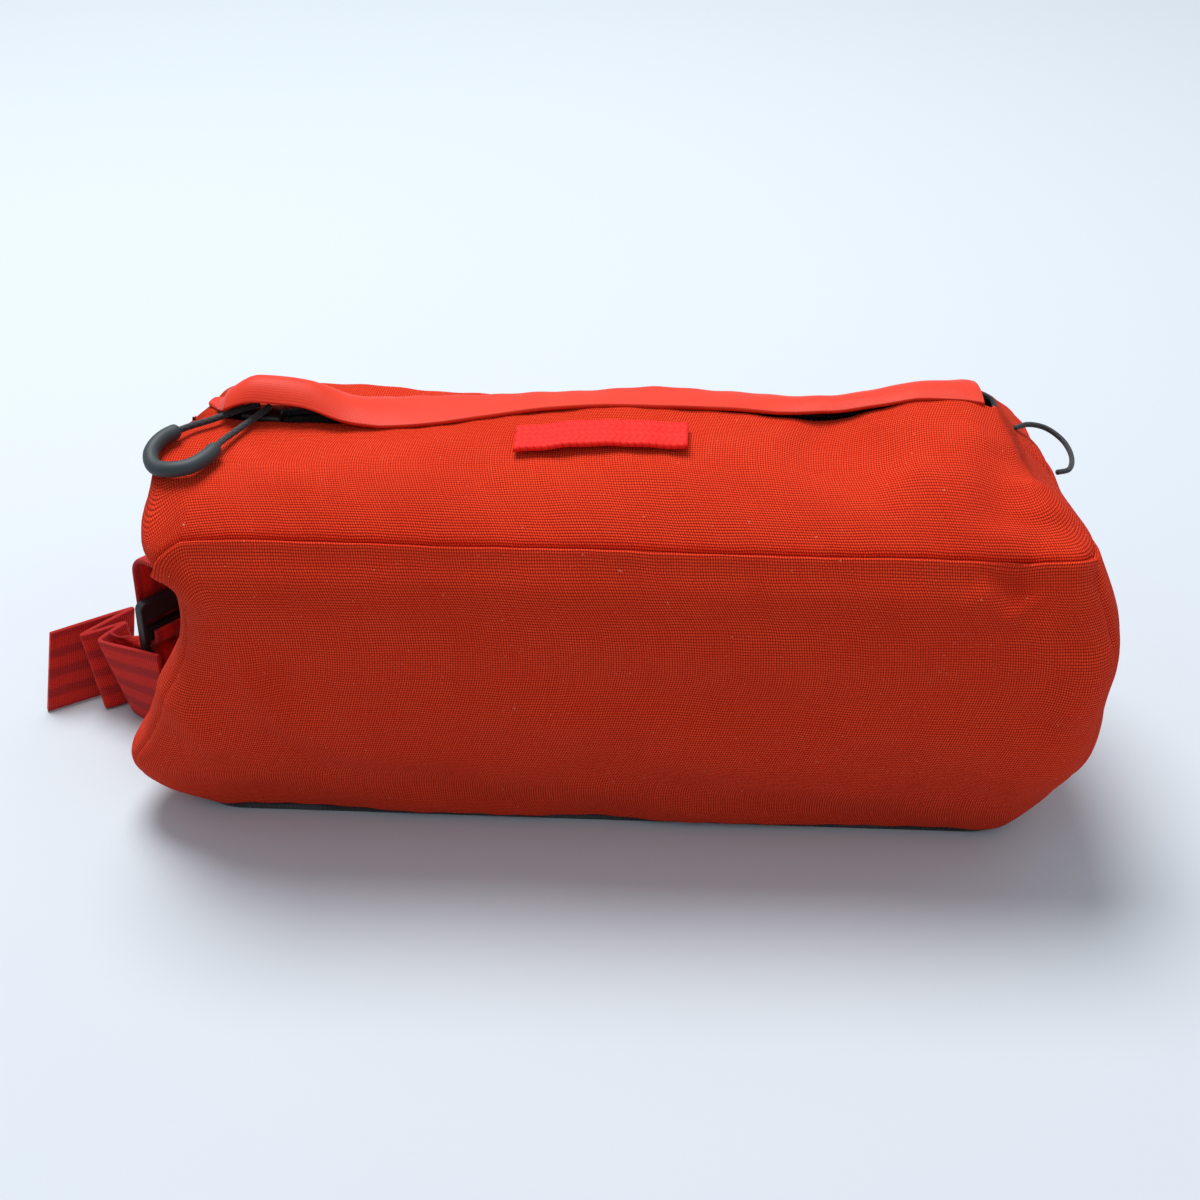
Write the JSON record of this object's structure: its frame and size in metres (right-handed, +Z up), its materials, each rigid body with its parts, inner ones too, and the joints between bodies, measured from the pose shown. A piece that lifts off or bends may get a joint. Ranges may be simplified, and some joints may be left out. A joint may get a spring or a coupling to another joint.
{
  "type": "handlebar bag",
  "caption": "Small soft handlebar bag of woven fabric with a covered zip along its top, a corded zip pull, a webbing light loop and a folded strap at one end.",
  "frame": {"origin": "middle of the base's flat underside, on the surface that the bag rests on", "axes": "+X along the bag to its right end as seen from the front, +Y from the front to the back, +Z up"},
  "size_m": [0.2895, 0.1012, 0.113],
  "materials": {
    "body_fabric": "plain slubbed weave, matt red-orange",
    "coated_fabric": "smooth coated cloth, slightly satin",
    "base_fabric": "dark coarse cloth, matt",
    "zip_fabric": "black tape",
    "zip_plastic": "black moulded coil and slider",
    "cord": "thin braided black cord",
    "grip_rubber": "dark grey moulded rubber",
    "loop_webbing": "bright red webbing with a chunky weave",
    "strap_webbing": "red webbing with darker stripes along it",
    "strap_plastic": "black moulded plastic"
  },
  "bodies": {
    "root": {"base_panel": "base_fabric", "lower_panel": "body_fabric", "end_panel_left": "body_fabric", "end_panel_right": "body_fabric", "back_panel": "body_fabric", "upper_panel": "body_fabric", "top_back_panel": "body_fabric", "zip_flap": "coated_fabric", "zip_tape_front": "zip_fabric", "zip_tape_back": "zip_fabric", "zip_teeth": "zip_plastic", "zip_slider": "zip_plastic", "zip_pull_cord": "cord", "zip_pull_grip": "grip_rubber", "end_loop": "cord", "light_loop": "loop_webbing", "strap_anchor": "strap_webbing", "strap_loop": "strap_webbing", "strap_tail": "strap_webbing", "strap_slider": "strap_plastic"}
  },
  "joints": []
}
